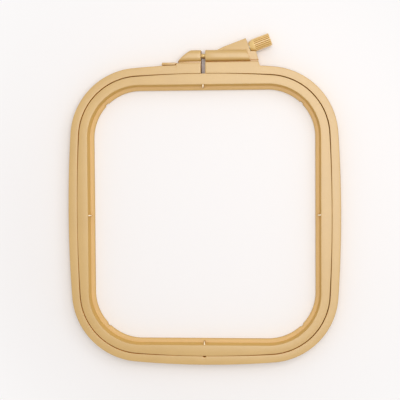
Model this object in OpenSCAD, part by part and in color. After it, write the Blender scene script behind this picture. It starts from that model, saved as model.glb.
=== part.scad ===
// Square embroidery hoop with rounded corners: an inner ring that carries the fabric, a springy
// outer ring that closes round it, and a draw screw turned by a fluted knob set at an angle.
// Millimetres, +Z up. The origin is the middle of the open field, on the plane the hoop lies on.
// The closure is at +Y. Drawn as it lies: rings together, screw slack, ends a few millimetres apart.

/* [Field] */
// Clear width of the field between the lips, along X
field_w = 146; // [120:1:180]
// Clear length of the field between the lips, along Y
field_l = 164; // [130:1:200]
// Corner radius of the field
field_r = 31.2; // [24:0.1:38]

/* [Rings] */
// Height of both rings
ring_h = 10; // [8.5:0.1:14]
// Chamfer along the rings' long edges
edge = 0.5; // [0.3:0.05:0.9]
// Width of the inner ring's top face at the corners
face_w = 5.5; // [4.5:0.1:8]
// How far the inner ring's outside bows out at the middle of each side
face_bow = 1.5; // [1.2:0.1:2.5]
// Width of the outer ring at the corners
rim_w = 5; // [4:0.1:8]
// How far the outer ring's outside bows out at the middle of each side
rim_bow = 1.7; // [1:0.1:3]
// Gap between the rings at the middle of each side
seam_gap = 0.2; // [0.1:0.05:0.4]
// Gap between the rings in the corners
corner_gap = 0.7; // [0.5:0.05:1]
// Width of the notch in the outer ring's inner face, at the middle of the lower side
seam_notch_w = 2.4; // [1.5:0.1:4]
// Depth of that notch
seam_notch_d = 0.8; // [0.4:0.1:1.2]

/* [Lip] */
// Width of the lip inside the inner ring
lip_w = 3.2; // [2:0.1:5]
// Height of the lip
lip_h = 3.2; // [2:0.1:5]
// Rounding of the lip's upper inner edge
lip_edge = 1.5; // [0.5:0.1:1.8]
// Width of a centre mark where it meets the inner wall
mark_w = 1.1; // [0.8:0.1:2]
// How far a centre mark reaches over the lip
mark_reach = 2.3; // [1.5:0.1:2.8]
// Height of a centre mark above the lip
mark_h = 4.4; // [2:0.1:4.8]
// Length of the notch in the lip at each corner
notch_l = 2.4; // [1.5:0.1:4]
// Depth of the notch in the lip at each corner
notch_d = 0.6; // [0.3:0.1:1.2]

/* [Closure] */
// Gap between the outer ring's two ends
gap_w = 2.85; // [2:0.05:4]
// Middle of that gap, along X
gap_x = 0.2; // [-2:0.05:2]
// Distance of the screw's axis from the outer ring's outer edge
axis_out = 5.8; // [5.6:0.1:7]
// Height of the screw's and the knob's axes
axis_z = 4.8; // [4.7:0.1:5.2]
// Width of the two barrels that hold the screw
barrel_w = 7.6; // [7.3:0.1:8]
// Height at which a barrel's sides turn into its round top
barrel_side = 5.8; // [5:0.1:6]
// Length of the left barrel along its foot
left_l = 15.3; // [14:0.1:15.6]
// Length of the left barrel along its far edge, where its end starts to slope
left_far_l = 6.3; // [5.5:0.1:7]
// Radius of the left barrel's sloping end
left_end_r = 42; // [25:1:60]
// Length of the right barrel along its foot
right_l = 29.6; // [27:0.1:30]
// Slope of the right barrel's end
right_slope = 21; // [10:1:30]
// How far the thickened ends stand out of the ring, left
pad_left_out = 1; // [0.8:0.1:1.5]
// How far the thickened ends stand out of the ring, right
pad_right_out = 1.5; // [1.2:0.1:1.8]
// Length of the thickened end, left
pad_left_l = 15.7; // [15.6:0.1:20]
// Length of the thickened end, right
pad_right_l = 34.5; // [33.5:0.1:38]
// Slope of the ends of the thickened ends
pad_slope = 22; // [15:1:30]
// Slope of the ends of the wedge plate and of the low tab
end_slope = 14; // [5:1:20]
// Length of the low tab beside the left thickened end
tab_l = 9.8; // [6:0.1:14]
// How far the low tab stands out of the ring
tab_out = 1.7; // [1.6:0.1:2.2]
// Width of the low tab, beyond the groove that parts it from the ring
tab_w = 1.5; // [1:0.1:1.6]
// Height of the low tab
tab_h = 7; // [5:0.1:8]
// Width of the gap between the low tab and the thickened end
tab_gap = 0.8; // [0.5:0.1:1.2]
// Depth of the groove and of the gap beside the low tab
tab_groove_h = 2.5; // [1:0.1:3]

/* [Wedge] */
// Angle of the knob's axis to the screw's
tilt = 20.3; // [16:0.1:22]
// Distance from the right end of the ring to the point where the two axes cross
joint_l = 13.9; // [13:0.1:15]
// Height of the wedge plate
wedge_h = 7.4; // [7.2:0.1:7.8]
// Distance from the crossing point to the wedge's end face
wedge_l = 15.5; // [15:0.1:17]
// Distance of the wedge's sloping edge from the knob's axis
wedge_side = 6; // [5.5:0.1:7]
// Width of the groove between the wedge plate and the ring
groove_w = 0.7; // [0.5:0.1:1]
// Height of the groove's floor
groove_h = 3.6; // [2:0.1:5]

/* [Draw screw] */
// Diameter of the screw over its thread
screw_d = 3.5; // [3:0.1:3.6]
// Pitch of the thread
pitch = 0.6; // [0.5:0.05:0.8]
// Depth of the thread
thread_depth = 0.32; // [0.2:0.02:0.36]
// Length of screw beyond the gap's left side
screw_past = 7.2; // [6.4:0.1:7.6]
// Wall between the gap and the screw's chamber, which takes the pull
thrust_wall = 3.6; // [2.5:0.1:4.5]
// Diameter of the chamber around the screw's inner end
chamber_d = 5.4; // [5.3:0.1:5.7]
// Diameter of the ball at the screw's inner end
ball_d = 3.4; // [3:0.1:3.4]
// Diameter of the neck behind the ball
neck_d = 2; // [1.6:0.1:2.2]
// Diameter of the cross pin through the ball
pin_d = 1; // [0.8:0.1:1.1]
// Length of the cross pin
pin_l = 4.6; // [4.2:0.1:4.8]
// Thickness of the thrust washer
washer_t = 0.8; // [0.5:0.1:1]
// Thickness of the retaining clip
clip_t = 0.7; // [0.5:0.1:1]

/* [Nut] */
// Width across the nut's flats
nut_w = 5.5; // [5:0.1:5.8]
// Thickness of the nut
nut_t = 2.8; // [2:0.1:3.2]
// Wall between the gap and the nut
nut_wall = 1.2; // [1:0.1:1.6]

/* [Knob] */
// Diameter of the knob over its ribs
knob_d = 8.3; // [8:0.05:9]
// Length of the knob
knob_l = 14.3; // [12:0.1:18]
// Length of the knob's smooth shoulder
shoulder_l = 3.2; // [1.5:0.1:4]
// Diameter of the knob where it meets the wedge
knob_neck_d = 5.3; // [4:0.1:6]
// Number of flutes round the knob
flutes = 24; // [16:1:30]
// Depth of a flute
flute_depth = 0.35; // [0.2:0.05:0.5]
// Diameter of the drive shaft
shaft_d = 2.6; // [2:0.1:2.8]
// Outer diameter of the joint cup
cup_d = 5; // [4.8:0.1:5.1]
// Length of the joint cup beyond the crossing point
cup_l = 4.9; // [4.5:0.1:5.5]

/* [Fits] */
// Clearance between a turning shaft and its bore, on the radius
run_fit = 0.06; // [0.03:0.01:0.1]
// Clearance of the screw in the nut and the left barrel, on the radius
swing_fit = 0.28; // [0.22:0.01:0.35]
// Clearance of the ball and the cross pin in the joint cup
joint_fit = 0.2; // [0.17:0.01:0.25]
// Clearance round the knob and the joint cup
gap_fit = 0.3; // [0.2:0.05:0.4]
// Clearance round the cover
cover_fit = 0.1; // [0.05:0.01:0.15]
// Thickness of the cover under the right barrel
cover_t = 1.4; // [1:0.1:1.6]
// Width of the ledge that the cover sits against
ledge = 0.4; // [0.3:0.05:0.5]
// Wall left between the ball's socket and the drive shaft's bore
socket_wall = 0.6; // [0.4:0.1:1]
// Play of the retaining clip along the screw
clip_play = 0.05; // [0.03:0.01:0.1]
// Clearance of the washer and the clip in the chamber, on the radius
washer_fit = 0.2; // [0.1:0.05:0.3]
// Depth of the retaining clip's groove in the screw
clip_groove = 0.55; // [0.3:0.05:0.6]
// Share of the knob's length that the drive shaft reaches into
shaft_reach = 0.8; // [0.5:0.05:0.9]

/* [Hidden] */
$fn = 96;

plastic = [0.88, 0.76, 0.58];
brass = [0.80, 0.65, 0.36];
steel = [0.72, 0.73, 0.75];

// Corner centres, shared by every outline
corner_x = field_w / 2 - field_r;
corner_y = field_l / 2 - field_r;

// Radii of the outlines about the corner centres
wall_r = field_r + lip_w;
face_r = wall_r + face_w;
rim_in_r = face_r + corner_gap;
rim_out_r = rim_in_r + rim_w;
rim_in_bow = face_bow - corner_gap + seam_gap;

// Closure
top_y = corner_y + rim_out_r + rim_bow;
left_x = gap_x - gap_w / 2;
right_x = gap_x + gap_w / 2;
screw_y = top_y + axis_out;
barrel_foot_y = screw_y - barrel_w / 2;
barrel_far_y = screw_y + barrel_w / 2;
joint_x = right_x + joint_l;
chamber_x = right_x + thrust_wall;
nut_x = left_x - nut_wall;
screw_tip_x = left_x - screw_past;
// Line inside the outer ring's width from which the closure grows
weld_y = top_y - rim_w * 0.6;
// Segments of the left barrel's long arc, and how far a cut runs past a face
wide_fn = 720;
over = 1;
// Steps round each corner and along each side
corner_steps = 18;
side_steps = 8;

// Right end of the wedge plate and of the thickened end
plate_end_x = right_x + pad_right_l;
// How far an end of a given slope leans over its depth in Y
function lean(depth, slope) = depth * tan(slope);
// Line that the wedge plate keeps to beside the knob, at a distance x along X
function knob_side_y(x) = screw_y + (x - joint_x) * tan(tilt) - (knob_d / 2 + gap_fit) / cos(tilt);
plate_corner_x = plate_end_x - lean(screw_y - top_y, end_slope);

// Distances along the knob's axis, from the crossing point
knob_t = wedge_l + gap_fit;
cup_rim = 1.2;
bearing_t = cup_l + gap_fit;

// Corner centre k of four, counted anticlockwise from the one at +X +Y
function corner(k) = let (m = k % 4) [(m == 0 || m == 3 ? 1 : -1) * corner_x, (m < 2 ? 1 : -1) * corner_y];

// Stations round the hoop, each a point and the direction in which an outline is met from it
block = corner_steps + side_steps;
loop = [for (k = [0 : 3]) each concat(
    [for (i = [0 : corner_steps]) [corner(k), 90 * k + 90 * i / corner_steps]],
    [for (i = [1 : side_steps - 1])
        [corner(k) + (corner(k + 1) - corner(k)) * i / side_steps, 90 * (k + 1)]])];

// An outline has corners of radius r, and sides that bow out by b on arcs tangent to them.
// The arc about which a side of half length h is drawn starts from this radius.
function side_r(h, b) = (h * h + b * b) / (2 * b);

// Distance from a station to the outline of corner radius r and bow b
function reach(st, r, b) = b == 0 ? r : let (
    turn = st[1] % 180, psi = turn > 90 ? 180 - turn : turn,
    qx = side_r(corner_y, b), qy = side_r(corner_x, b),
    on_x = psi < asin(corner_y / qx), on_y = psi > 90 - asin(corner_x / qy),
    n = [cos(st[1]), sin(st[1])],
    w = (on_x ? [sign(n[0]) * (corner_x + b - qx), 0] : [0, sign(n[1]) * (corner_y + b - qy)]) - st[0],
    q = on_x ? qx : qy)
    on_x || on_y ? n * w + sqrt((n * w) * (n * w) + (q + r) * (q + r) - w * w) : r;

// A point t along the knob's axis and s to its left
function on_axis(t, s) = [joint_x + t * cos(tilt) - s * sin(tilt),
                          screw_y + t * sin(tilt) + s * cos(tilt)];

// Joins a section through stations. Its points are [corner radius, bow, height], anticlockwise.
module loft(stations, section, closed) {
    n = len(section);
    last = len(stations) - (closed ? 1 : 2);
    points = [for (st = stations, p = section) let (d = reach(st, p[0], p[1]))
        [st[0][0] + d * cos(st[1]), st[0][1] + d * sin(st[1]), p[2]]];
    skin = [for (i = [0 : last], j = [0 : n - 1]) let (
        next = (i + 1) % len(stations) * n, a = i * n + j, b = i * n + (j + 1) % n,
        c = next + (j + 1) % n, d = next + j) each [[a, b, c], [a, c, d]]];
    caps = closed ? [] : [[for (j = [n - 1 : -1 : 0]) j],
                          [for (j = [0 : n - 1]) (len(stations) - 1) * n + j]];
    polyhedron(points, concat(skin, caps));
}

// Section of the inner ring: outside, top face, wall, and the lip rounded towards the field
inner_section = concat(
    [[field_r + edge, 0, 0], [face_r - edge, face_bow, 0], [face_r, face_bow, edge],
     [face_r, face_bow, ring_h - edge], [face_r - edge, face_bow, ring_h],
     [wall_r + edge, 0, ring_h], [wall_r, 0, ring_h - edge], [wall_r, 0, lip_h]],
    [for (a = [90 : 30 : 180])
        [field_r + lip_edge + lip_edge * cos(a), 0, lip_h - lip_edge + lip_edge * sin(a)]],
    [[field_r, 0, edge]]);

// Section of the outer ring
rim_section = [
    [rim_in_r + edge, rim_in_bow, 0], [rim_out_r - edge, rim_bow, 0], [rim_out_r, rim_bow, edge],
    [rim_out_r, rim_bow, ring_h - edge], [rim_out_r - edge, rim_bow, ring_h],
    [rim_in_r + edge, rim_in_bow, ring_h], [rim_in_r, rim_in_bow, ring_h - edge],
    [rim_in_r, rim_in_bow, edge]];

// A small triangular rib on the lip that marks the middle of a side
module centre_mark(half) {
    translate([half + lip_w, 0, 0]) linear_extrude(lip_h + mark_h)
        polygon([[over, -mark_w / 2], [0, -mark_w / 2], [-mark_reach, -mark_w / 8],
                 [-mark_reach, mark_w / 8], [0, mark_w / 2], [over, mark_w / 2]]);
}

module inner_ring() {
    color(plastic) difference() {
        union() {
            loft(loop, inner_section, true);
            for (turn = [0, 180]) rotate(turn) {
                centre_mark(field_w / 2);
                rotate(90) centre_mark(field_l / 2);
            }
        }
        for (k = [0 : 3]) translate([corner(k)[0], corner(k)[1], -over]) rotate(45 + 90 * k)
            translate([field_r - over, -notch_l / 2, 0]) cube([notch_d + over, notch_l, lip_h + 2 * over]);
    }
}

// The outer ring's three stretches part where the lower side meets its corners, and at the gap
base_stations = [for (i = [2 * block + corner_steps : 3 * block]) loop[i]];
left_stations = concat([[[left_x, corner_y], 90]],
    [for (i = [corner_steps + 1 : 2 * block + corner_steps])
        if (i >= block || loop[i][0][0] < left_x - over) loop[i]]);
right_stations = concat([for (i = [3 * block : 4 * block - 1]) loop[i]],
    [for (i = [0 : block - 1]) if (i <= corner_steps || loop[i][0][0] > right_x + over) loop[i]],
    [[[right_x, corner_y], 90]]);

// A bar along X with upright sides and a round top, from x0 to x1, its axis on the screw's
module barrel_bar(x0, x1) {
    translate([x0, screw_y, 0]) rotate([90, 0, 90]) linear_extrude(x1 - x0) union() {
        translate([-barrel_w / 2, 0]) square([barrel_w, barrel_side]);
        translate([0, barrel_side]) circle(barrel_w / 2);
    }
}

// A flat piece of the given plan, from height z0 to z1
module slab(points, z0, z1) {
    translate([0, 0, z0]) linear_extrude(z1 - z0) polygon(points);
}

// Right end of the low tab at a given Y, which keeps the gap to the thickened end's slope
function tab_end_x(y) = left_x - pad_left_l + lean(y - top_y - pad_left_out, pad_slope) - tab_gap;

module left_closure() {
    pad_y = top_y + pad_left_out;
    tab_y = top_y + tab_out;
    far_x = left_x - pad_left_l;
    tab_x = far_x - tab_l;
    // Thickened end, with its sloped end
    slab([[left_x, weld_y], [left_x, pad_y], [far_x, pad_y],
          [far_x - lean(pad_y - weld_y, pad_slope), weld_y]], 0, ring_h);
    // Low tab, on a floor that leaves a groove to the ring and a gap to the thickened end
    slab([[far_x + over, weld_y], [far_x + over, tab_y - tab_w / 4], [tab_x, tab_y - tab_w / 4],
          [tab_x - lean(tab_y - weld_y, end_slope), weld_y]], 0, tab_h - tab_groove_h);
    slab([[tab_end_x(tab_y - tab_w), tab_y - tab_w], [tab_end_x(tab_y), tab_y],
          [tab_x, tab_y], [tab_x - lean(tab_w, end_slope), tab_y - tab_w]], 0, tab_h);
    // Foot that joins the barrel to the thickened end
    slab([[left_x, top_y], [left_x, screw_y], [left_x - left_far_l, screw_y],
          [left_x - left_l + over, barrel_foot_y], [left_x - left_l, top_y]], 0, barrel_side);
    intersection() {
        barrel_bar(left_x - left_l - over, left_x);
        // The sloping end is an arc through the barrel's far and near corners
        union() {
            a = atan2(left_l - left_far_l, barrel_w);
            c = norm([left_l - left_far_l, barrel_w]) / 2;
            m = [left_x - (left_l + left_far_l) / 2, screw_y];
            k = sqrt(left_end_r * left_end_r - c * c);
            translate([m[0] + k * cos(a), m[1] - k * sin(a), 0])
                cylinder(r = left_end_r, h = 2 * ring_h, $fn = wide_fn);
        }
    }
}

// Plan of the wedge plate, from the ring's right end to the knob, with room for the knob
function wedge_plan() = [
    [right_x, barrel_foot_y + groove_w], [right_x, screw_y],
    on_axis(0, wedge_side), on_axis(wedge_l, wedge_side),
    on_axis(wedge_l, -knob_neck_d / 2 - gap_fit),
    on_axis(knob_t + shoulder_l, -knob_d / 2 - gap_fit),
    [plate_corner_x, knob_side_y(plate_corner_x)],
    [plate_end_x, barrel_foot_y + groove_w]];

module right_closure() {
    pad_y = top_y + pad_right_out;
    // Thickened end
    slab([[right_x, weld_y], [right_x, pad_y], [plate_end_x, pad_y],
          [plate_end_x + lean(pad_y - weld_y, pad_slope), weld_y]], 0, ring_h);
    // Floor of the groove between the thickened end and the plate
    slab([[right_x, top_y], [right_x, screw_y], [plate_end_x, screw_y - barrel_w / 4],
          [plate_end_x, top_y]], 0, groove_h);
    slab(wedge_plan(), 0, wedge_h);
    intersection() {
        barrel_bar(right_x, right_x + right_l);
        slab([[right_x, barrel_foot_y], [right_x + right_l, barrel_foot_y],
              [right_x + right_l - barrel_w * tan(right_slope), barrel_far_y],
              [right_x, barrel_far_y]], 0, 2 * ring_h);
    }
}

// A tunnel of diameter d along an axis, from its start to its length, open downwards
module open_tunnel(d, l) {
    rotate([0, 90, 0]) cylinder(d = d, h = l);
    translate([0, -d / 2, -axis_z - over]) cube([l, d, axis_z + over]);
}

// Places things on the screw's axis and on the knob's axis, along +X
module on_screw(x) { translate([x, screw_y, axis_z]) children(); }
module on_knob(t) { translate([joint_x, screw_y, axis_z]) rotate(tilt) translate([t, 0, 0]) children(); }

// Plan of the chamber's mouth, grown by a margin
module chamber_mouth(grow) {
    w = chamber_d / 2 + grow;
    translate([chamber_x - grow, screw_y - w]) square([joint_x - chamber_x + grow, 2 * w]);
    translate([joint_x, screw_y]) rotate(tilt)
        translate([-cup_rim - gap_fit - grow, -w]) square([cup_rim + gap_fit + bearing_t + 2 * grow, 2 * w]);
}

module right_cavities() {
    on_screw(right_x - over) rotate([0, 90, 0])
        cylinder(d = screw_d + 2 * run_fit, h = thrust_wall + 2 * over);
    on_screw(chamber_x) open_tunnel(chamber_d, joint_x - chamber_x);
    on_knob(-cup_rim - gap_fit) open_tunnel(chamber_d, cup_rim + gap_fit + bearing_t);
    on_knob(bearing_t - over) rotate([0, 90, 0])
        cylinder(d = shaft_d + 2 * run_fit, h = wedge_l - bearing_t + 2 * over);
    translate([0, 0, -over]) linear_extrude(cover_t + over) chamber_mouth(ledge);
}

module left_cavities() {
    tunnel_end_x = screw_tip_x - gap_fit;
    on_screw(tunnel_end_x) rotate([0, 90, 0])
        cylinder(d = screw_d + 2 * swing_fit, h = left_x - tunnel_end_x + over);
    translate([nut_x - nut_t, screw_y - nut_w / 2, -over])
        cube([nut_t, nut_w, axis_z + nut_w / 2 + over]);
}

module outer_ring_base() {
    // The notch is cut by a cylinder that meets the inner face over the notch's width
    notch_r = (seam_notch_w * seam_notch_w / 4 + seam_notch_d * seam_notch_d) / (2 * seam_notch_d);
    face_y = corner_y + rim_in_r + rim_in_bow;
    color(plastic) difference() {
        loft(base_stations, rim_section, false);
        translate([0, notch_r - face_y - seam_notch_d, -over]) cylinder(r = notch_r, h = ring_h + 2 * over);
    }
}

module outer_ring_left() {
    color(plastic) difference() {
        union() {
            loft(left_stations, rim_section, false);
            left_closure();
        }
        left_cavities();
    }
}

module outer_ring_right() {
    color(plastic) difference() {
        union() {
            loft(right_stations, rim_section, false);
            right_closure();
        }
        right_cavities();
    }
}

module housing_cover() {
    color(plastic) linear_extrude(cover_t) chamber_mouth(ledge - cover_fit);
}

// Half of the thread's section, from the screw's tip to x1: one ridge for each turn
function thread_points(x0, x1) = let (turns = floor((x1 - x0) / pitch))
    [for (i = [0 : turns - 1], k = [0, 1])
        [screw_d / 2 - (k == 0 ? thread_depth : 0), x0 + (i + k / 2 + 0.25) * pitch]];

module draw_screw() {
    thread_end_x = chamber_x - over / 2;
    groove_x = chamber_x + washer_t + clip_play;
    groove_r = screw_d / 2 - clip_groove;
    shank_r = screw_d / 2 - run_fit;
    color(brass) difference() {
        on_screw(0) rotate([0, 90, 0]) union() {
            rotate_extrude() polygon(concat(
                [[0, screw_tip_x], [screw_d / 2 - thread_depth, screw_tip_x]],
                thread_points(screw_tip_x, thread_end_x),
                [[shank_r, thread_end_x], [shank_r, groove_x], [groove_r, groove_x],
                 [groove_r, groove_x + clip_t], [shank_r, groove_x + clip_t],
                 [shank_r, joint_x - ball_d], [neck_d / 2, joint_x - ball_d + over / 2],
                 [neck_d / 2, joint_x], [0, joint_x]]));
            translate([0, 0, joint_x]) sphere(d = ball_d);
        }
        on_screw(joint_x) cylinder(d = pin_d, h = ball_d * 2, center = true);
    }
}

module captive_nut() {
    color(brass) difference() {
        translate([nut_x - nut_t, screw_y - nut_w / 2, axis_z - nut_w / 2]) cube([nut_t, nut_w, nut_w]);
        on_screw(nut_x - nut_t - over) rotate([0, 90, 0])
            cylinder(d = screw_d + 2 * swing_fit, h = nut_t + 2 * over);
    }
}

module thrust_washer() {
    color(steel) on_screw(chamber_x) rotate([0, 90, 0]) difference() {
        cylinder(d = chamber_d - 2 * washer_fit, h = washer_t);
        translate([0, 0, -over]) cylinder(d = screw_d + 2 * run_fit, h = washer_t + 2 * over);
    }
}

module retaining_clip() {
    color(steel) on_screw(chamber_x + washer_t + clip_play) rotate([0, 90, 0]) difference() {
        cylinder(d = chamber_d - 2 * washer_fit - clip_play, h = clip_t);
        translate([0, 0, -over]) cylinder(d = screw_d - 2 * clip_groove, h = clip_t + 2 * over);
        translate([0, -neck_d / 3, -over]) cube([chamber_d, neck_d * 2 / 3, clip_t + 2 * over]);
    }
}

module cross_pin() {
    color(steel) on_screw(joint_x) cylinder(d = pin_d, h = pin_l, center = true);
}

module joint_cup() {
    inside_r = ball_d / 2 + joint_fit;
    slot_w = pin_d + 2 * joint_fit;
    color(brass) on_knob(0) difference() {
        translate([-cup_rim, 0, 0]) rotate([0, 90, 0]) cylinder(d = cup_d, h = cup_rim + cup_l);
        translate([-cup_rim - over, 0, 0]) rotate([0, 90, 0])
            cylinder(r = inside_r, h = cup_rim + over);
        sphere(r = inside_r);
        translate([inside_r + socket_wall, 0, 0]) rotate([0, 90, 0]) cylinder(d = shaft_d, h = cup_l);
        translate([-cup_rim - over, -slot_w / 2, -cup_d])
            cube([cup_rim + over + ball_d / 2 - joint_fit, slot_w, 2 * cup_d]);
    }
}

module drive_shaft() {
    start_t = ball_d / 2 + joint_fit + socket_wall;
    color(steel) on_knob(start_t) rotate([0, 90, 0])
        cylinder(d = shaft_d, h = knob_t + knob_l * shaft_reach - start_t);
}

module thumb_knob() {
    color(plastic) on_knob(knob_t) rotate([0, 90, 0]) difference() {
        union() {
            cylinder(d1 = knob_neck_d, d2 = knob_d - 2 * flute_depth, h = shoulder_l);
            translate([0, 0, shoulder_l]) linear_extrude(knob_l - shoulder_l) difference() {
                circle(d = knob_d);
                for (i = [0 : flutes - 1]) rotate(i * 360 / flutes)
                    translate([knob_d / 2 + flute_depth * 0.4, 0]) circle(flute_depth * 1.4);
            }
        }
        translate([0, 0, -over]) cylinder(d = shaft_d, h = knob_l * shaft_reach + over);
    }
}

inner_ring();
outer_ring_base();
outer_ring_left();
outer_ring_right();
housing_cover();
draw_screw();
captive_nut();
thrust_washer();
retaining_clip();
cross_pin();
joint_cup();
drive_shaft();
thumb_knob();
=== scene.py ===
"""Looks of a square embroidery hoop, lying on a pale table under soft light.

Lengths are given in millimetres and turned into metres by MM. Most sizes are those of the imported
model. The seam, the outer ring's width, the grooves beside the barrels, the left barrel's foot,
the centre marks, the foot of the inner wall, the barrels' section, the screw's thread and the
knob's flutes differ from it a little, to look as they do in the photo.
"""
import math

import bmesh
import bpy
from mathutils import Matrix, Vector


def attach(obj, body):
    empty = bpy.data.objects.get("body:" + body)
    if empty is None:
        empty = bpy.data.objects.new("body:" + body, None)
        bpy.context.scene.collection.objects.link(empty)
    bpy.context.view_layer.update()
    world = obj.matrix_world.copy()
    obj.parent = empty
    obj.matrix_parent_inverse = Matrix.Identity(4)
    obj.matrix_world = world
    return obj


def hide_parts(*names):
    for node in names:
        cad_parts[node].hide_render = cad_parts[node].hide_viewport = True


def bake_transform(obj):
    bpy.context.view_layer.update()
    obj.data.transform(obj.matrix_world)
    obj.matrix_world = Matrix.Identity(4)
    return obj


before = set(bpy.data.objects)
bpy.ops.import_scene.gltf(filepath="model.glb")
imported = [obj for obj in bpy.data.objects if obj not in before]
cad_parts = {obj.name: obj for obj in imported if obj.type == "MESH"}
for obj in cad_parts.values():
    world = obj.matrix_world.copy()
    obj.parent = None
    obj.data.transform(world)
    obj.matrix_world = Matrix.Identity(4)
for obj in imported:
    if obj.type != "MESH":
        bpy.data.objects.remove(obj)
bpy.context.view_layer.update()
MM = 0.001
TINY = 0.001

# Rings: widths from the open field outwards, corner centres, and the bow of the sides
FIELD_R, LIP_W, FACE_W, SEAM_W, RIM_W = 31.2, 3.2, 5.5, 0.56, 5.14
CORNER_X, CORNER_Y = 41.8, 50.8
WALL_R = FIELD_R + LIP_W
FACE_R = WALL_R + FACE_W
RIM_IN_R = FACE_R + SEAM_W
RIM_OUT_R = RIM_IN_R + RIM_W
FACE_BOW, RIM_IN_BOW, RIM_BOW = 1.5, 1.12, 1.7
RING_H, EDGE, SEAM_EDGE = 10.0, 0.5, 0.22
LIP_H, LIP_EDGE = 3.2, 1.5
# Foot of the inner wall, as (inwards from the wall, up from the lip)
WALL_FOOT = ((0, 3.4), (0.7, 0.3), (0.8, 0.08), (1, 0))
CORNER_STEPS, SIDE_STEPS = 60, 30
EDGE_STEPS, TOP_STEPS, LIP_STEPS = 4, 5, 8

# Centre marks, notches of the lip and the notch in the outer ring's lower side
MARK_W, MARK_REACH, MARK_H = 1.0, 2.3, 5.0
MARK_ROOT, MARK_SETBACK, MARK_FLARE, MARK_TIP = 0.4, 0.1, 0.15, 0.12
MARK_Z0, MARK_EDGE = 1.2, 0.09
NOTCH_L, NOTCH_D, NOTCH_FADE = 2.4, 0.6, 0.35
NOTCH_OFFSETS = (-0.004, -0.0015, 0.0015, 0.004)
SEAM_NOTCH_W, SEAM_NOTCH_D, SEAM_NOTCH_STEPS = 2.4, 0.8, 6

# Closure: the cut, the two barrels, the thickened ends beside the cut, the tab and the wedge
TOP_Y = CORNER_Y + RIM_OUT_R + RIM_BOW
LEFT_X, RIGHT_X = -1.225, 1.625
CUT_EDGE, CUT_CLEAR = 0.25, 0.3
BEVEL = (0.0, 0.04, 0.13, CUT_EDGE)
# How strongly the section shrinks there, sideways and in height, for each millimetre of inset
SHRINK_D, SHRINK_Z = 1 / 3, 1 / 5
SCREW_Y, AXIS_Z = TOP_Y + 5.8, 4.8
BARREL_R, BARREL_SIDE, BARREL_EDGE = 3.8, 5.8, 0.3
BARREL_Z0, BARREL_FULLNESS, BARREL_STEP = 0.03, 0.75, 5
FOOT_Y = SCREW_Y - BARREL_R
LEFT_L, LEFT_FAR_L, LEFT_END_R = 15.3, 6.3, 42.0
LEFT_FOOT_H, LEFT_FOOT_NEAR, LEFT_FOOT_FAR = BARREL_SIDE + 1.7, 1.0, 0.3
RIGHT_L, RIGHT_SLOPE = 29.6, math.radians(21)
PAD_LEFT_OUT, PAD_RIGHT_OUT = 1.0, 1.5
PAD_LEFT_L, PAD_RIGHT_L, PAD_STEP = 15.7, 34.5, 0.15
PAD_LEAN, END_LEAN = math.tan(math.radians(22)), math.tan(math.radians(14))
TAB_L, TAB_OUT, TAB_W, TAB_H = 9.8, 1.7, 1.5, 7.0
TAB_GAP, TAB_GROOVE_H, TAB_EDGE = 0.8, 2.5, 0.2
TAB_FILL_OUT, TAB_FILL_IN = 0.6, 0.1
TILT, JOINT_X = math.radians(20.3), RIGHT_X + 13.9
WEDGE_H, WEDGE_L, WEDGE_SIDE, WEDGE_EDGE = 7.4, 15.5, 6.0, 0.3
GROOVE_W, GROOVE_H = 1.0, 6.6
GROOVE_SHORT, GROOVE_UNDER = 0.1, 0.2
PLATE_X = RIGHT_X + PAD_RIGHT_L
WELD_Y = TOP_Y - 1.0
# Setback from the cut's plane, and undersides a little above the table
SETBACK, PIECE_Z0, FILL_Z0, FILL_EDGE = 0.02, 0.05, 0.06, 0.15

# Screw
SCREW_D, PITCH, THREAD, THREAD_STEPS = 3.5, 0.6, 0.32, 9
CREST_LOW, CREST_RISE = 0.1, 0.72
TIP_X, CHAMBER_X = LEFT_X - 7.2, RIGHT_X + 3.6
TIP_CHAMFER, THREAD_START, THREAD_STOP, SHANK_START = 0.35, 0.45, 0.5, 0.4
ROOT_R, SHANK_R = SCREW_D / 2 - THREAD, SCREW_D / 2 - 0.06
CLIP_SLOT_R, CLIP_SLOT = 1.2, (0.85, 0.87, 1.53, 1.55)
BALL_R, NECK_R = 1.7, 1.0
# The shank's end, and where the ball's neck starts and stops, from the joint's middle
SHANK_END, NECK_START, NECK_STOP = 3.4, 3.0, 1.5
SCREW_SIDES, SCREW_CREASE = 48, 50

# Knob
KNOB_D, KNOB_L, SHOULDER_L, NECK_D = 8.3, 14.3, 3.2, 5.3
FLUTES, FLUTE, FLUTE_SHARE, FLUTE_WALL, FLUTE_RUN = 20, 0.5, 0.25, 0.12, 0.6
FLUTE_STEPS, KNOB_CREASE = 20, 45
KNOB_EDGE, CROWN = 0.4, 1.5
FACE_IN, FACE_MIDDLE_R = 0.75, 0.4
KNOB_GAP = 0.3
KNOB_T = WEDGE_L + KNOB_GAP

# Places of the further materials in a ring's list and in the knob's; its own plastic is at 0
INWARD, OUTWARD, BROWN, HIGHLIGHT, LIP = 1, 2, 3, 4, 5
FLUTE_BROWN = 1
# A face is upright where its normal's Z is below the first, and looks along X above the second
UPRIGHT, END_ON = 0.3, 0.9
# Faces that look along X take the brown painted shade up to this far from the middle line
BROWN_X = 3.0
# Flutes take the brown painted shade from this share of their depth, and up to this far from the
# knob's far end
FLUTE_BROWN_DEPTH, FLUTE_BROWN_END = 0.55, 0.6
# Heights: the lip's lighter material, painted light, ends at the first, and the marks' tops, with
# their painted highlight, lie between the other two
LIP_TOP, MARK_TOP_LOW, MARK_TOP_HIGH = LIP_H + 0.5, LIP_H + 1, RING_H - 1


def side_r(half, bow):
    """Radius of the arc that a side of that half length bows out on."""
    return (half * half + bow * bow) / (2 * bow)


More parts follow.
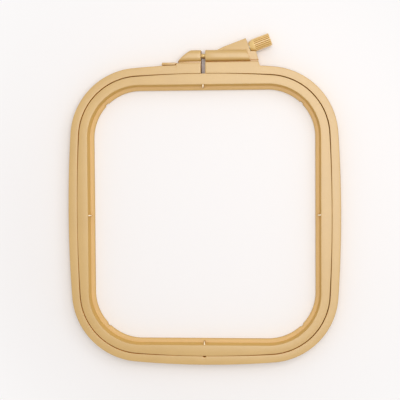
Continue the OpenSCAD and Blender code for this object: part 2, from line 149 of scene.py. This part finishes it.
def reach(x, y, angle, r, bow):
    """Distance from a station to the outline of corner radius r and bow, in direction angle."""
    n = Vector((math.cos(angle), math.sin(angle)))
    qx, qy = side_r(CORNER_Y, bow), side_r(CORNER_X, bow)
    turn = math.degrees(angle) % 180
    psi = 180 - turn if turn > 90 else turn
    if psi < math.degrees(math.asin(CORNER_Y / qx)):
        q, centre = qx, Vector((math.copysign(1, n.x) * (CORNER_X + bow - qx), 0))
    elif psi > 90 - math.degrees(math.asin(CORNER_X / qy)):
        q, centre = qy, Vector((0, math.copysign(1, n.y) * (CORNER_Y + bow - qy)))
    else:
        return r
    w = centre - Vector((x, y))
    return n.dot(w) + math.sqrt(n.dot(w) ** 2 + (q + r) ** 2 - w.dot(w))


def corner(k):
    """Corner centre k, anticlockwise from the one at +X +Y."""
    k = k % 4
    return (CORNER_X if k in (0, 3) else -CORNER_X, CORNER_Y if k < 2 else -CORNER_Y)


def stations(extra_turns=(), extra_x=()):
    """Places round the hoop, each a point and a direction.

    Extra turns, in quarters of a circle, and extra X on the top side make room for small forms.
    """
    places = []
    for k in range(4):
        (x0, y0), (x1, y1) = corner(k), corner(k + 1)
        turns = {i / CORNER_STEPS for i in range(CORNER_STEPS + 1)} | set(extra_turns)
        places += [(x0, y0, math.radians(90 * (k + t))) for t in sorted(turns)]
        shares = {i / SIDE_STEPS for i in range(1, SIDE_STEPS)}
        if k == 0:
            shares |= {(x0 - x) / (x0 - x1) for x in extra_x}
        places += [(x0 + (x1 - x0) * s, y0 + (y1 - y0) * s, math.radians(90 * (k + 1)))
                   for s in sorted(shares) if 0 < s < 1]
    return places


def arc(cx, cz, r, a0, a1, steps):
    """Points of an arc in a section, in degrees."""
    turns = [math.radians(a0 + (a1 - a0) * i / steps) for i in range(steps + 1)]
    return [(cx + r * math.cos(a), cz + r * math.sin(a)) for a in turns]


def link_object(name, data):
    obj = bpy.data.objects.new(name, data)
    bpy.context.scene.collection.objects.link(obj)
    return obj


def mesh_object(name, verts, faces, scale=MM):
    mesh = bpy.data.meshes.new(name)
    mesh.from_pydata([tuple(c * scale for c in v) for v in verts], [], faces)
    mesh.validate()
    mesh.update()
    return link_object(name, mesh)


def fix_normals(obj):
    bm = bmesh.new()
    bm.from_mesh(obj.data)
    bmesh.ops.recalc_face_normals(bm, faces=bm.faces)
    bm.to_mesh(obj.data)
    bm.free()


def skin(name, rings, closed):
    """An object over rings of equal length: a tube round the hoop, or a bar with capped ends."""
    n, count = len(rings[0]), len(rings)
    faces = []
    for i in range(count if closed else count - 1):
        a, b = i * n, (i + 1) % count * n
        faces += [(a + j, a + (j + 1) % n, b + (j + 1) % n, b + j) for j in range(n)]
    if not closed:
        faces += [tuple(range(n)), tuple(range((count - 1) * n, count * n))[::-1]]
    obj = mesh_object(name, [v for ring in rings for v in ring], faces)
    fix_normals(obj)
    return obj


def smooth(obj, degrees=32):
    obj.data.shade_smooth()
    obj.data.set_sharp_from_angle(angle=math.radians(degrees))


def join(name, parts):
    """One object of several, without merging their surfaces."""
    bm = bmesh.new()
    for part in parts:
        mesh = part.data
        bm.from_mesh(mesh)
        bpy.data.objects.remove(part)
        bpy.data.meshes.remove(mesh)
    mesh = bpy.data.meshes.new(name)
    bm.to_mesh(mesh)
    bm.free()
    return link_object(name, mesh)


def loft(name, places, section, closed):
    """A section carried round the stations. section(place) gives (distance, height) points."""
    return skin(name, [[(p[0] + d * math.cos(p[2]), p[1] + d * math.sin(p[2]), z)
                        for d, z in section(p)] for p in places], closed)


def prism(name, plan, z0, z1, edge):
    """An upright piece of that plan, its edges rounded."""
    n = len(plan)
    verts = [(x, y, z0) for x, y in plan] + [(x, y, z1) for x, y in plan]
    faces = [tuple(range(n))[::-1], tuple(range(n, 2 * n))]
    faces += [(i, (i + 1) % n, n + (i + 1) % n, n + i) for i in range(n)]
    obj = mesh_object(name, verts, faces)
    fix_normals(obj)
    bm = bmesh.new()
    bm.from_mesh(obj.data)
    bmesh.ops.bevel(bm, geom=bm.edges[:], offset=edge * MM, segments=3, profile=0.5,
                    affect="EDGES", clamp_overlap=True)
    bm.to_mesh(obj.data)
    bm.free()
    return obj


# Inner ring
def inner_section(place):
    x, y, angle = place
    turn = (math.degrees(angle) - 45) % 90
    off = min(turn, 90 - turn) if (abs(x), abs(y)) == (CORNER_X, CORNER_Y) else 90
    half = math.degrees(NOTCH_L / 2 / FIELD_R)
    fade = min(1, max(0, (half - off) / NOTCH_FADE + 0.5))
    field = FIELD_R + NOTCH_D * fade
    face_out = reach(x, y, angle, FACE_R, FACE_BOW)
    top_z = RING_H - SEAM_EDGE
    pts = arc(face_out - EDGE, EDGE, EDGE, -90, 0, EDGE_STEPS)
    pts += arc(face_out - SEAM_EDGE, top_z, SEAM_EDGE, 0, 90, TOP_STEPS)
    pts += arc(WALL_R + SEAM_EDGE, top_z, SEAM_EDGE, 90, 180, TOP_STEPS)
    pts += [(WALL_R - inwards, LIP_H + up) for inwards, up in WALL_FOOT]
    pts += arc(field + LIP_EDGE, LIP_H - LIP_EDGE, LIP_EDGE, 90, 180, LIP_STEPS)
    pts += arc(field + EDGE, EDGE, EDGE, 180, 270, EDGE_STEPS)
    return pts


def centre_mark(half, turn):
    """A small triangular rib over the lip, at the middle of a side, half from the hoop's middle."""
    wall = half + LIP_W
    outline = [(wall + MARK_ROOT, MARK_W / 2 + MARK_FLARE), (wall - MARK_SETBACK, MARK_W / 2),
               (wall - MARK_REACH, MARK_TIP)]
    plan = [(x, -w) for x, w in outline] + outline[::-1]
    mark = prism("mark", plan, MARK_Z0, LIP_H + MARK_H, MARK_EDGE)
    mark.data.transform(Matrix.Rotation(turn, 4, "Z"))
    return mark


half_notch = NOTCH_L / 2 / FIELD_R / math.radians(90)
notch_turns = [0.5 + s * half_notch + d for s in (-1, 1) for d in NOTCH_OFFSETS]
ring_body = loft("inner_ring_body", stations(extra_turns=notch_turns), inner_section, True)
half_w, half_l = CORNER_X + FIELD_R, CORNER_Y + FIELD_R
marks = [centre_mark(half_w, 0), centre_mark(half_w, math.pi),
         centre_mark(half_l, math.pi / 2), centre_mark(half_l, -math.pi / 2)]
inner_ring = join("inner_ring_moulding", [ring_body] + marks)
smooth(inner_ring)

# Outer ring
NOTCH_R = (SEAM_NOTCH_W ** 2 / 4 + SEAM_NOTCH_D ** 2) / (2 * SEAM_NOTCH_D)
UP, DOWN = math.radians(90), math.radians(270)


def on_top_side(place):
    """Whether a station is on the top side's run between the corners, where the ring is cut."""
    return place[1] == CORNER_Y and abs(math.degrees(place[2]) - 90) < 0.01


def pad_out(x):
    """Y of the outline where the ends beside the cut are thickened, with their sloped ends."""
    if x <= 0:
        return TOP_Y + PAD_LEFT_OUT - max(0, (LEFT_X - PAD_LEFT_L - x) / PAD_LEAN)
    return TOP_Y + PAD_RIGHT_OUT - max(0, (x - PLATE_X) / PAD_LEAN)


def rim_section(place):
    x, y, angle = place
    outer = reach(x, y, angle, RIM_OUT_R, RIM_BOW)
    inner_r = reach(x, y, angle, RIM_IN_R, RIM_IN_BOW)
    if on_top_side(place):
        outer = max(outer, pad_out(x) - y)
    if y == -CORNER_Y and abs(x) < SEAM_NOTCH_W / 2:
        inner_r += math.sqrt(NOTCH_R ** 2 - x * x) - NOTCH_R + SEAM_NOTCH_D
    pts = arc(inner_r + EDGE, EDGE, EDGE, 180, 270, EDGE_STEPS)
    pts += arc(outer - EDGE, EDGE, EDGE, -90, 0, EDGE_STEPS)
    pts += arc(outer - EDGE, RING_H - EDGE, EDGE, 0, 90, TOP_STEPS)
    pts += arc(inner_r + SEAM_EDGE, RING_H - SEAM_EDGE, SEAM_EDGE, 90, 180, TOP_STEPS)
    return pts


def order(place):
    """How far round the hoop a station lies, anticlockwise from +X, from -180 to 180 degrees."""
    x, y, angle = place
    return math.atan2(y + FIELD_R * math.sin(angle), x + FIELD_R * math.cos(angle))


def left_order(place):
    """The same from 0 to 360 degrees, so that it runs on across -X."""
    return order(place) if order(place) > 0 else order(place) + 2 * math.pi


def half_places(sign, cut_x):
    """Stations of one half of the outer ring, from the cut or the notch anticlockwise."""
    kept = []
    for place in rim_places:
        x, y, angle = place
        on_side = sign * (x + math.cos(angle)) > 0 or sign * x > TINY
        in_cut = y > 0 and sign * x < sign * cut_x + CUT_CLEAR
        past_middle = y < 0 and sign * x < TINY
        if on_side and not in_cut and not past_middle:
            kept.append(place)
    middle = [(0.0, -CORNER_Y, DOWN)]
    end = [(cut_x + sign * d, CORNER_Y, UP) for d in BEVEL]
    if sign > 0:
        return middle + sorted(kept, key=order) + end[::-1]
    return end + sorted(kept, key=left_order) + middle


def rounded_end(section, x_end):
    """The section drawn in slightly over the last CUT_EDGE before a cut end."""
    def cut(place):
        pts = section(place)
        d = abs(place[0] - x_end)
        if not on_top_side(place) or d > CUT_EDGE:
            return pts
        inset = CUT_EDGE - math.sqrt(max(0, CUT_EDGE ** 2 - (CUT_EDGE - d) ** 2))
        ds, zs = zip(*pts)
        mid_d, mid_z = (max(ds) + min(ds)) / 2, (max(zs) + min(zs)) / 2
        part_d, part_z = 1 - inset * SHRINK_D, 1 - inset * SHRINK_Z
        return [(mid_d + (e - mid_d) * part_d, mid_z + (z - mid_z) * part_z) for e, z in pts]
    return cut


pad_ends = [LEFT_X - PAD_LEFT_L - PAD_STEP * i for i in range(-1, 6)]
pad_ends += [PLATE_X + PAD_STEP * i for i in range(-1, 9)]
rim_places = stations(extra_x=pad_ends)
rim_places += [(sign * SEAM_NOTCH_W / 2 * i / SEAM_NOTCH_STEPS, -CORNER_Y, DOWN)
               for sign in (-1, 1) for i in range(1, SEAM_NOTCH_STEPS + 2)]
rim_left = loft("rim_left", half_places(-1, LEFT_X), rounded_end(rim_section, LEFT_X), False)
rim_right = loft("rim_right", half_places(1, RIGHT_X), rounded_end(rim_section, RIGHT_X), False)


def d_profile(inset):
    """A barrel's section as (y, z), fuller than a half round, drawn in by inset."""
    r = BARREL_R - inset
    pts = [(-r, BARREL_Z0 + inset), (-r, BARREL_SIDE * 0.5)]
    for a in range(180, -1, -BARREL_STEP):
        c, e = math.cos(math.radians(a)), math.sin(math.radians(a))
        y = math.copysign(r * abs(c) ** BARREL_FULLNESS, c)
        pts.append((y, BARREL_SIDE + r * abs(e) ** BARREL_FULLNESS))
    return pts + [(r, BARREL_SIDE * 0.5), (r, BARREL_Z0 + inset)]


def barrel(name, x0, x_end, sign):
    """A bar along X with rounded ends, from the cut to the end that x_end(y) gives."""
    edge = BARREL_EDGE
    ends = [(0, edge), (edge * 0.13, edge * 0.5), (edge * 0.5, edge * 0.13), (edge, 0)]
    rows = [[(x0 + sign * d, y, z) for y, z in d_profile(inset)] for d, inset in ends]
    rows += [[(x0 + (x_end(y) - x0) * s, y, z) for y, z in d_profile(0)]
             for s in (0.25, 0.5, 0.75)]
    rows += [[(x_end(y) - sign * d, y, z) for y, z in d_profile(inset)]
             for d, inset in ends[::-1]]
    return skin(name, [[(x, SCREW_Y + y, z) for x, y, z in row] for row in rows], False)


def left_end(y):
    """The left barrel's sloping end is an arc through its near and far corners."""
    a = math.atan2(LEFT_L - LEFT_FAR_L, 2 * BARREL_R)
    c = math.hypot(LEFT_L - LEFT_FAR_L, 2 * BARREL_R) / 2
    k = math.sqrt(LEFT_END_R ** 2 - c * c)
    mx = LEFT_X - (LEFT_L + LEFT_FAR_L) / 2 + k * math.cos(a)
    my = -k * math.sin(a)
    return mx - math.sqrt(LEFT_END_R ** 2 - (y - my) ** 2)


def right_end(y):
    return RIGHT_X + RIGHT_L - (y + BARREL_R) * math.tan(RIGHT_SLOPE)


def on_axis(t, s):
    """Plan point at t along the knob's axis and s to its left."""
    return (JOINT_X + t * math.cos(TILT) - s * math.sin(TILT),
            SCREW_Y + t * math.sin(TILT) + s * math.cos(TILT))


left_barrel = barrel("left_barrel", LEFT_X, left_end, -1)
left_foot = prism("left_foot", [(LEFT_X - SETBACK, WELD_Y), (LEFT_X - SETBACK, SCREW_Y),
                                (LEFT_X - LEFT_FAR_L, SCREW_Y),
                                (LEFT_X - LEFT_L + LEFT_FOOT_NEAR, FOOT_Y),
                                (LEFT_X - LEFT_L + LEFT_FOOT_FAR, WELD_Y)],
                  PIECE_Z0, LEFT_FOOT_H, FILL_EDGE)
tab_x, tab_y = LEFT_X - PAD_LEFT_L - TAB_L, TOP_Y + TAB_OUT


def tab_end(y):
    """Right end of the low tab, which keeps the gap to the thickened end's slope."""
    return LEFT_X - PAD_LEFT_L + (y - TOP_Y - PAD_LEFT_OUT) * PAD_LEAN - TAB_GAP


fill_x, fill_y, fill_back = tab_x + TAB_L + TAB_FILL_OUT, tab_y - TAB_W / 4, WELD_Y - 1
tab_floor = prism("tab_floor", [(fill_x, fill_back), (fill_x, fill_y),
                                (tab_x + TAB_FILL_IN, fill_y), (tab_x - TAB_FILL_OUT, fill_back)],
                  FILL_Z0, TAB_H - TAB_GROOVE_H, FILL_EDGE)
tab_back = tab_y - TAB_W
tab = prism("tab", [(tab_end(tab_back), tab_back), (tab_end(tab_y), tab_y), (tab_x, tab_y),
                    (tab_x - TAB_W * END_LEAN, tab_back)], PIECE_Z0, TAB_H, TAB_EDGE)
rim_left = join("outer_ring_left_side", [rim_left, left_barrel, left_foot, tab_floor, tab])
smooth(rim_left)

plate_corner = PLATE_X - (SCREW_Y - TOP_Y) * END_LEAN
knob_side = SCREW_Y + (plate_corner - JOINT_X) * math.tan(TILT)
knob_side -= (KNOB_D / 2 + KNOB_GAP) / math.cos(TILT)
plate = prism("plate", [(RIGHT_X + SETBACK, FOOT_Y + GROOVE_W), (RIGHT_X + SETBACK, SCREW_Y),
                        on_axis(0, WEDGE_SIDE), on_axis(WEDGE_L, WEDGE_SIDE),
                        on_axis(WEDGE_L, -NECK_D / 2 - KNOB_GAP),
                        on_axis(KNOB_T + SHOULDER_L, -KNOB_D / 2 - KNOB_GAP),
                        (plate_corner, knob_side), (PLATE_X, FOOT_Y + GROOVE_W)],
              PIECE_Z0, WEDGE_H, WEDGE_EDGE)
groove_x, groove_y = PLATE_X - GROOVE_SHORT, FOOT_Y + GROOVE_W + GROOVE_UNDER
groove = prism("groove_floor", [(RIGHT_X + SETBACK, WELD_Y), (RIGHT_X + SETBACK, groove_y),
                                (groove_x, groove_y), (groove_x, WELD_Y)],
               FILL_Z0, GROOVE_H, FILL_EDGE)
right_barrel = barrel("right_barrel", RIGHT_X, right_end, 1)
rim_right = join("outer_ring_right_side", [rim_right, right_barrel, plate, groove])
smooth(rim_right)


# Draw screw: a helical thread, and the ball that the cross pin goes through
def thread_radius(x, angle):
    t = ((x / PITCH) - angle / (2 * math.pi)) % 1
    crest = 1 - abs(2 * t - 1)
    return SCREW_D / 2 - THREAD * (1 - min(1, max(0, (crest - CREST_LOW) / CREST_RISE)))


def lathe(name, rows, around, radius):
    """A turned piece along +X. rows are (x, r); radius(x, angle) stands in where r is None."""
    rings = []
    for x, r in rows:
        turns = [2 * math.pi * i / around for i in range(around)]
        spokes = [(radius(x, a) if r is None else r, a) for a in turns]
        rings.append([(x, q * math.cos(a), q * math.sin(a)) for q, a in spokes])
    return skin(name, rings, False)


def place_at(obj, x, y, z, turn=0.0):
    shift = Matrix.Translation((x * MM, y * MM, z * MM))
    obj.data.transform(shift @ Matrix.Rotation(turn, 4, "Z"))


thread_l = CHAMBER_X - THREAD_STOP - TIP_X - THREAD_STOP
thread_count = int(thread_l / (PITCH / THREAD_STEPS))
screw_rows = [(TIP_X, ROOT_R - TIP_CHAMFER), (TIP_X + TIP_CHAMFER, ROOT_R)]
screw_rows += [(TIP_X + THREAD_START + i * PITCH / THREAD_STEPS, None)
               for i in range(thread_count)]
screw_rows += [(CHAMBER_X - THREAD_STOP, ROOT_R), (CHAMBER_X - SHANK_START, SHANK_R)]
screw_rows += [(CHAMBER_X + d, r) for d, r in
               zip(CLIP_SLOT, (SHANK_R, CLIP_SLOT_R, CLIP_SLOT_R, SHANK_R))]
screw_rows += [(JOINT_X - SHANK_END, SHANK_R), (JOINT_X - NECK_START, NECK_R),
               (JOINT_X - NECK_STOP, NECK_R)]
ball_turns = [math.radians(a) for a in range(40, 176, 9)]
screw_rows += [(JOINT_X - BALL_R * math.cos(a), BALL_R * math.sin(a)) for a in ball_turns]
screw = lathe("draw_screw_thread", screw_rows, SCREW_SIDES, thread_radius)
place_at(screw, 0, SCREW_Y, AXIS_Z)
smooth(screw, SCREW_CREASE)


# Knob: fluted all round, with a smooth cone towards the wedge
def knob_radius(x, angle):
    """Radius of the knob: a crowned shoulder, then V-shaped flutes, and a rounded far rim."""
    turn = angle * FLUTES / (2 * math.pi) % 1
    valley = min(1, max(0, (FLUTE_SHARE - abs(turn - 0.5)) / FLUTE_WALL))
    depth = FLUTE * min(1, max(0, (x - SHOULDER_L) / FLUTE_RUN))
    rise = 1 - (1 - min(1, x / SHOULDER_L)) ** CROWN
    r = NECK_D / 2 + (KNOB_D / 2 - NECK_D / 2) * rise - depth * valley
    rim = max(0, x - (KNOB_L - KNOB_EDGE))
    return r - KNOB_EDGE + math.sqrt(max(0, KNOB_EDGE ** 2 - rim * rim))


# Rows close together on the shoulder, where the flutes run in and at the far rim
xs = [0.0, 0.05] + [i * SHOULDER_L / 8 for i in range(1, 8)]
xs += [SHOULDER_L + i * 0.1 for i in range(8)]
xs += [SHOULDER_L + 1 + i for i in range(int(KNOB_L - SHOULDER_L - 1.6))]
xs += [KNOB_L - d for d in (0.5, 0.4, 0.25, 0.12, 0.04, 0.01)]
knob_rows = [(x, None) for x in sorted(set(xs))]
knob_rows += [(KNOB_L, KNOB_D / 2 - FACE_IN), (KNOB_L, FACE_MIDDLE_R)]
knob = lathe("fluted_knob", knob_rows, FLUTES * FLUTE_STEPS, knob_radius)
place_at(knob, *on_axis(KNOB_T, 0), AXIS_Z, TILT)
smooth(knob, KNOB_CREASE)


# Materials
def nodes_of(name):
    mat = bpy.data.materials.new(name)
    mat.use_nodes = True
    return mat, mat.node_tree, mat.node_tree.nodes["Principled BSDF"]


def noise(tree, vector, scale, detail, roughness=0.5):
    node = tree.nodes.new("ShaderNodeTexNoise")
    node.inputs["Scale"].default_value = scale
    node.inputs["Detail"].default_value = detail
    node.inputs["Roughness"].default_value = roughness
    tree.links.new(vector, node.inputs["Vector"])
    return node.outputs["Fac"]


def colours(tree, bsdf, value, low, high, start=0.0, end=1.0):
    """Base colour from low to high as the value goes from start to end."""
    node = tree.nodes.new("ShaderNodeValToRGB")
    for stop, position, colour in zip(node.color_ramp.elements, (start, end), (low, high)):
        stop.position, stop.color = position, (*colour, 1)
    tree.links.new(value, node.inputs["Fac"])
    tree.links.new(node.outputs["Color"], bsdf.inputs["Base Color"])


def roughness_between(tree, bsdf, value, low, high):
    node = tree.nodes.new("ShaderNodeMapRange")
    node.inputs["To Min"].default_value = low
    node.inputs["To Max"].default_value = high
    tree.links.new(value, node.inputs["Value"])
    tree.links.new(node.outputs["Result"], bsdf.inputs["Roughness"])


def relief(tree, bsdf, height, strength, metres):
    node = tree.nodes.new("ShaderNodeBump")
    node.inputs["Strength"].default_value = strength
    node.inputs["Distance"].default_value = metres
    tree.links.new(height, node.inputs["Height"])
    tree.links.new(node.outputs["Normal"], bsdf.inputs["Normal"])


def plastic(name, dark, light, rough=0.35, specular=1.0):
    """Moulded plastic: faint clouding, fine speckle, soft sheen and a fine grain in relief."""
    mat, tree, bsdf = nodes_of(name)
    spot = tree.nodes.new("ShaderNodeTexCoord").outputs["Object"]
    cloud = noise(tree, spot, 55, 4, 0.6)
    mix = tree.nodes.new("ShaderNodeMath")
    mix.operation = "MULTIPLY_ADD"
    mix.inputs[1].default_value = 0.3
    tree.links.new(noise(tree, spot, 900, 3), mix.inputs[0])
    tree.links.new(cloud, mix.inputs[2])
    colours(tree, bsdf, mix.outputs[0], dark, light, 0.35, 0.95)
    roughness_between(tree, bsdf, cloud, rough - 0.03, rough + 0.04)
    bsdf.inputs["Specular IOR Level"].default_value = specular
    relief(tree, bsdf, noise(tree, spot, 1700, 2), 0.2, 0.00004)
    return mat


def metal(name, colour, rough, stretch):
    """Turned or rolled metal with fine tool marks, closer together along X by stretch."""
    mat, tree, bsdf = nodes_of(name)
    coord = tree.nodes.new("ShaderNodeTexCoord")
    mapping = tree.nodes.new("ShaderNodeMapping")
    mapping.inputs["Scale"].default_value = (stretch, 1, 1)
    tree.links.new(coord.outputs["Object"], mapping.inputs["Vector"])
    tool_marks = noise(tree, mapping.outputs["Vector"], 400, 4)
    colours(tree, bsdf, tool_marks, [c * 0.82 for c in colour], colour)
    bsdf.inputs["Metallic"].default_value = 1
    roughness_between(tree, bsdf, tool_marks, rough - 0.06, rough + 0.1)
    relief(tree, bsdf, tool_marks, 0.3, 0.00002)
    return mat


ring_plastic = plastic("beige_moulding", (0.56, 0.343, 0.102), (0.61, 0.383, 0.122))
# Inner ring's inward walls: a lighter, warmer copy of the moulding with little gloss, painted warm
# bounce light
wall_plastic = plastic("beige_wall", (0.62, 0.38, 0.11), (0.66, 0.41, 0.125), 0.6, 0.15)
# Outer ring's inward walls, along the seam and in the trenches by the closure: bright orange,
# painted warm light in these crevices
seam_plastic = plastic("beige_seam", (0.82, 0.42, 0.10), (0.88, 0.46, 0.12), 0.6, 0.1)
# Tops of the centre marks: near white, a painted highlight
mark_highlight_plastic = plastic("beige_painted_highlight", (0.92, 0.80, 0.56), (0.96, 0.85, 0.62), 0.3)
# Lip tops: lighter than the moulding, painted light where the inner wall shades the lip
lip_plastic = plastic("beige_lip", (0.68, 0.43, 0.16), (0.72, 0.465, 0.18), 0.45, 0.5)
# Inner ring's outward walls, facing the seam: a lighter, warmer copy, painted warm bounce light
lift_plastic = plastic("beige_lift", (0.70, 0.41, 0.115), (0.74, 0.44, 0.13), 0.6, 0.15)
# Brown copy of the moulding: painted shade on the flute bottoms, the cut ends and the flanks of the
# top and bottom marks
groove_plastic = plastic("beige_groove", (0.47, 0.24, 0.06), (0.53, 0.28, 0.075), 0.5, 0.4)
# Knob: lighter than the moulding, painted light that offsets the shade of its flutes
knob_plastic = plastic("beige_knob", (0.76, 0.51, 0.18), (0.81, 0.55, 0.20))
brass = metal("brass", (0.93, 0.78, 0.48), 0.3, 6)
steel = metal("steel", (0.62, 0.62, 0.64), 0.34, 1)


def paint(obj, mat):
    obj.data.materials.clear()
    obj.data.materials.append(mat)


def paint_walls(obj, inward_mat, outward_mat):
    """Materials of upright faces, by the side they look to.

    Brown, a painted shade, goes on the cut ends and on the flanks of the marks at top and bottom.
    """
    for mat in (inward_mat, outward_mat, groove_plastic):
        obj.data.materials.append(mat)
    for face in obj.data.polygons:
        normal, centre = face.normal, face.center
        if abs(normal.z) < UPRIGHT:
            inward = normal.x * centre.x + normal.y * centre.y < 0
            face.material_index = INWARD if inward else OUTWARD
            if abs(centre.x) < BROWN_X * MM and abs(normal.x) > END_ON:
                face.material_index = BROWN


for obj in (inner_ring, rim_left, rim_right):
    paint(obj, ring_plastic)
paint(knob, knob_plastic)
# The flute bottoms take the brown painted shade
knob.data.materials.append(groove_plastic)
knob_axis = Vector((math.cos(TILT), math.sin(TILT), 0))
knob_foot = Vector([c * MM for c in (*on_axis(KNOB_T, 0), AXIS_Z)])
for face in knob.data.polygons:
    along = (face.center - knob_foot).dot(knob_axis)
    off_axis = face.center - knob_foot - along * knob_axis
    in_flute = off_axis.length < (KNOB_D / 2 - FLUTE * FLUTE_BROWN_DEPTH) * MM
    if in_flute and SHOULDER_L * MM < along < (KNOB_L - FLUTE_BROWN_END) * MM:
        face.material_index = FLUTE_BROWN
# The inner ring's walls take these lighter, warmer copies: painted bounce light
paint_walls(inner_ring, wall_plastic, lift_plastic)
inner_ring.data.materials.append(mark_highlight_plastic)
inner_ring.data.materials.append(lip_plastic)
# Lip tops take the lighter colour, painted light
for face in inner_ring.data.polygons:
    height, upward = face.center.z, face.normal.z > UPRIGHT
    if upward and height < LIP_TOP * MM and face.material_index == 0:
        face.material_index = LIP
    # The marks' tops take the painted highlight
    if upward and MARK_TOP_LOW * MM < height < MARK_TOP_HIGH * MM:
        face.material_index = HIGHLIGHT
# The outer ring's inward walls take the orange painted warm light
paint_walls(rim_left, seam_plastic, ring_plastic)
paint_walls(rim_right, seam_plastic, ring_plastic)
paint(screw, brass)
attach(inner_ring, "inner")
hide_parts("inner_ring")
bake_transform(rim_left)
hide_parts("outer_ring_left", "outer_ring_base")
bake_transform(rim_right)
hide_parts("outer_ring_right")
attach(knob, "knob")
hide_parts("thumb_knob")
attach(screw, "screw")
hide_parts("draw_screw")
cad_paint = {"housing_cover": ring_plastic, "captive_nut": brass, "thrust_washer": steel,
             "retaining_clip": steel, "cross_pin": steel, "joint_cup": brass,
             "drive_shaft": steel}
for name, mat in cad_paint.items():
    paint(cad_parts[name], mat)


# Table and world, in metres
TABLE = (0.965, 0.948, 0.945)
NEAR_M, FAR_M, TABLE_M = 0.12, 0.20, 3


def white_rays(tree):
    """1 for rays that should meet a plain white background: of the camera, gloss and glass."""
    rays = tree.nodes.new("ShaderNodeLightPath")
    found = rays.outputs["Is Camera Ray"]
    for kind in ("Is Glossy Ray", "Is Transmission Ray"):
        either = tree.nodes.new("ShaderNodeMath")
        either.operation = "MAXIMUM"
        tree.links.new(found, either.inputs[0])
        tree.links.new(rays.outputs[kind], either.inputs[1])
        found = either.outputs[0]
    return found


def choose(tree, share, first, second, output):
    """Shows the first shader where share is 0 and the second where it is 1."""
    node = tree.nodes.new("ShaderNodeMixShader")
    tree.links.new(share, node.inputs["Fac"])
    tree.links.new(first, node.inputs[1])
    tree.links.new(second, node.inputs[2])
    tree.links.new(node.outputs["Shader"], tree.nodes[output].inputs["Surface"])


# Up to NEAR_M from the hoop's middle the table is lit and takes the hoop's shadow. From there on
# it passes over, for the camera and for reflections, to the plain white that it is past FAR_M.
floor = mesh_object("table", [(-TABLE_M, -TABLE_M, 0), (TABLE_M, -TABLE_M, 0),
                              (TABLE_M, TABLE_M, 0), (-TABLE_M, TABLE_M, 0)], [(0, 1, 2, 3)], 1)
floor_mat, floor_tree, floor_bsdf = nodes_of("table_white")
floor_bsdf.inputs["Base Color"].default_value = (0.925, 0.90, 0.895, 1)
floor_bsdf.inputs["Roughness"].default_value = 0.9
floor_bsdf.inputs["Specular IOR Level"].default_value = 0.1
glow = floor_tree.nodes.new("ShaderNodeEmission")
glow.inputs["Color"].default_value = (*TABLE, 1)
glow.inputs["Strength"].default_value = 1.0
floor_spot = floor_tree.nodes.new("ShaderNodeTexCoord")
away = floor_tree.nodes.new("ShaderNodeVectorMath")
away.operation = "LENGTH"
floor_tree.links.new(floor_spot.outputs["Object"], away.inputs[0])
far = floor_tree.nodes.new("ShaderNodeMapRange")
far.inputs["From Min"].default_value = NEAR_M
far.inputs["From Max"].default_value = FAR_M
floor_tree.links.new(away.outputs["Value"], far.inputs["Value"])
far_white = floor_tree.nodes.new("ShaderNodeMath")
far_white.operation = "MULTIPLY"
floor_tree.links.new(far.outputs["Result"], far_white.inputs[0])
floor_tree.links.new(white_rays(floor_tree), far_white.inputs[1])
choose(floor_tree, far_white.outputs[0], floor_bsdf.outputs["BSDF"], glow.outputs["Emission"],
       "Material Output")
paint(floor, floor_mat)

world = bpy.data.worlds.new("studio")
bpy.context.scene.world = world
world.use_nodes = True
sky_tree = world.node_tree
sky = sky_tree.nodes["Background"]
sky.inputs["Color"].default_value = (1.0, 0.99, 0.98, 1)
sky.inputs["Strength"].default_value = 0.57
plain = sky_tree.nodes.new("ShaderNodeBackground")
plain.inputs["Color"].default_value = (*TABLE, 1)
plain.inputs["Strength"].default_value = 1.0
choose(sky_tree, white_rays(sky_tree), sky.outputs["Background"], plain.outputs["Background"],
       "World Output")


# Lamps, in metres and watts
def lamp(name, pos, target, size, power):
    light = bpy.data.lights.new(name, "AREA")
    light.shape = "RECTANGLE"
    light.size, light.size_y = size
    light.energy = power
    obj = link_object(name, light)
    obj.location = pos
    aim = Vector(target) - Vector(pos)
    obj.rotation_euler = aim.to_track_quat("-Z", "Y").to_euler()


lamp("softbox_over", (0.10, 0.17, 0.9), (0.10, 0.17, 0.0), (0.5, 0.55), 2.7)
lamp("softbox_low", (0.17, -0.09, 0.9), (0.17, -0.09, 0.0), (0.22, 0.22), 0.6)
lamp("softbox_right", (0.55, 0.35, 0.7), (0.0, 0.0, 0.0), (0.4, 0.4), 0.9)
lamp("softbox_top", (0.1, 0.7, 0.8), (0.0, 0.0, 0.0), (1.0, 0.6), 1.0)

# Camera, as fitted to the photo's outlines: focal length in pixels, place and turn
PHOTO_PX, SENSOR_W = 400, 36
FOCAL_PX, CAM = 985.35, (43.73, 33.85, 650.0)
TURN = Vector((0.03723, -0.07155, 0.00485))
camera_data = bpy.data.cameras.new("camera")
camera_data.sensor_width = SENSOR_W
camera_data.lens = FOCAL_PX / PHOTO_PX * SENSOR_W
camera_data.clip_start, camera_data.clip_end = 0.01, 20
camera = link_object("camera", camera_data)
spin = Matrix.Rotation(TURN.length, 3, TURN.normalized()).transposed()
camera.matrix_world = Matrix.Translation([c * MM for c in CAM]) @ spin.to_4x4()
bpy.context.scene.camera = camera
bpy.context.scene.view_settings.view_transform = "Standard"
